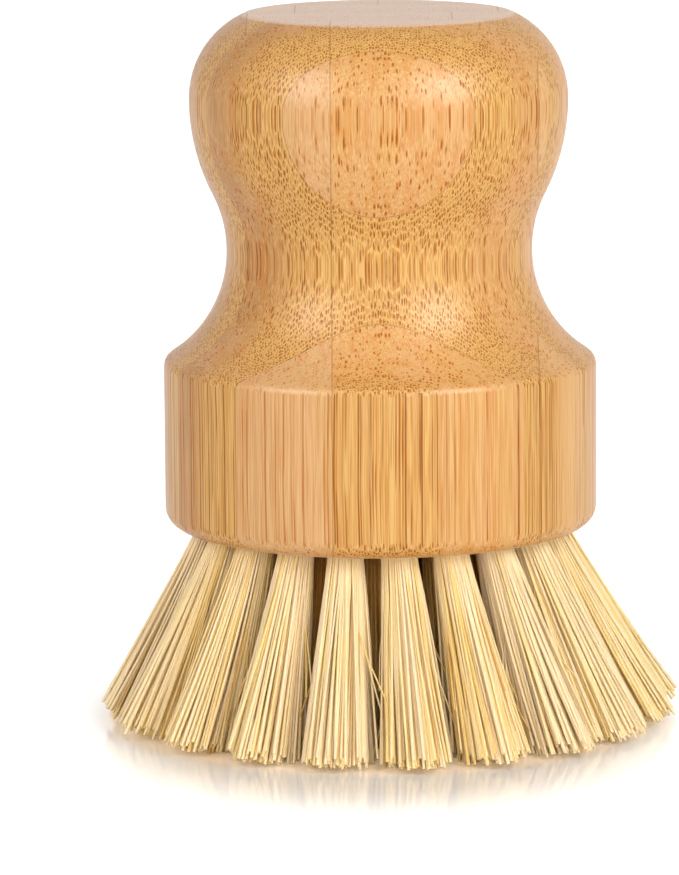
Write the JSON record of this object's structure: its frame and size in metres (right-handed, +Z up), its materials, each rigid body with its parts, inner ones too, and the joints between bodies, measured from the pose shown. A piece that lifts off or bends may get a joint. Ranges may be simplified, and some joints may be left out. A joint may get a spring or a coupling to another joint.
{
  "type": "palm brush",
  "caption": "Round turned bamboo palm brush: flat-topped knob, narrow waist and upright base, with rings of stapled natural bristle tufts that splay out below.",
  "frame": {"origin": "on the turning axis, in the plane that the bristle tips stand on", "axes": "+Z up the turning axis, from the bristle tips to the flat top of the knob; -Y towards the pictured side, square to the flat faces of the boards"},
  "size_m": [0.0608, 0.061, 0.078],
  "materials": {
    "bamboo": "satin",
    "bristle": "matte",
    "anchor": "satin"
  },
  "bodies": {
    "root": {"back_board_left_strip": "bamboo", "back_board_right_strip": "bamboo", "centre_tuft": "bristle", "fifth_board_left_strip": "bamboo", "fifth_board_right_strip": "bamboo", "fourth_board_left_strip": "bamboo", "fourth_board_middle_strip": "bamboo", "fourth_board_right_strip": "bamboo", "front_board_left_strip": "bamboo", "front_board_right_strip": "bamboo", "inner_tuft_01": "bristle", "inner_tuft_02": "bristle", "inner_tuft_03": "bristle", "inner_tuft_04": "bristle", "inner_tuft_05": "bristle", "inner_tuft_06": "bristle", "middle_tuft_01": "bristle", "middle_tuft_02": "bristle", "middle_tuft_03": "bristle", "middle_tuft_04": "bristle", "middle_tuft_05": "bristle", "middle_tuft_06": "bristle", "middle_tuft_07": "bristle", "middle_tuft_08": "bristle", "middle_tuft_09": "bristle", "middle_tuft_10": "bristle", "middle_tuft_11": "bristle", "middle_tuft_12": "bristle", "outer_tuft_01": "bristle", "outer_tuft_02": "bristle", "outer_tuft_03": "bristle", "outer_tuft_04": "bristle", "outer_tuft_05": "bristle", "outer_tuft_06": "bristle", "outer_tuft_07": "bristle", "outer_tuft_08": "bristle", "outer_tuft_09": "bristle", "outer_tuft_10": "bristle", "outer_tuft_11": "bristle", "outer_tuft_12": "bristle", "outer_tuft_13": "bristle", "outer_tuft_14": "bristle", "outer_tuft_15": "bristle", "outer_tuft_16": "bristle", "outer_tuft_17": "bristle", "outer_tuft_18": "bristle", "outer_tuft_19": "bristle", "outer_tuft_20": "bristle", "second_board_left_strip": "bamboo", "second_board_middle_strip": "bamboo", "second_board_right_strip": "bamboo", "staple_anchors": "anchor", "third_board_left_strip": "bamboo", "third_board_middle_strip": "bamboo", "third_board_right_strip": "bamboo"}
  },
  "joints": []
}
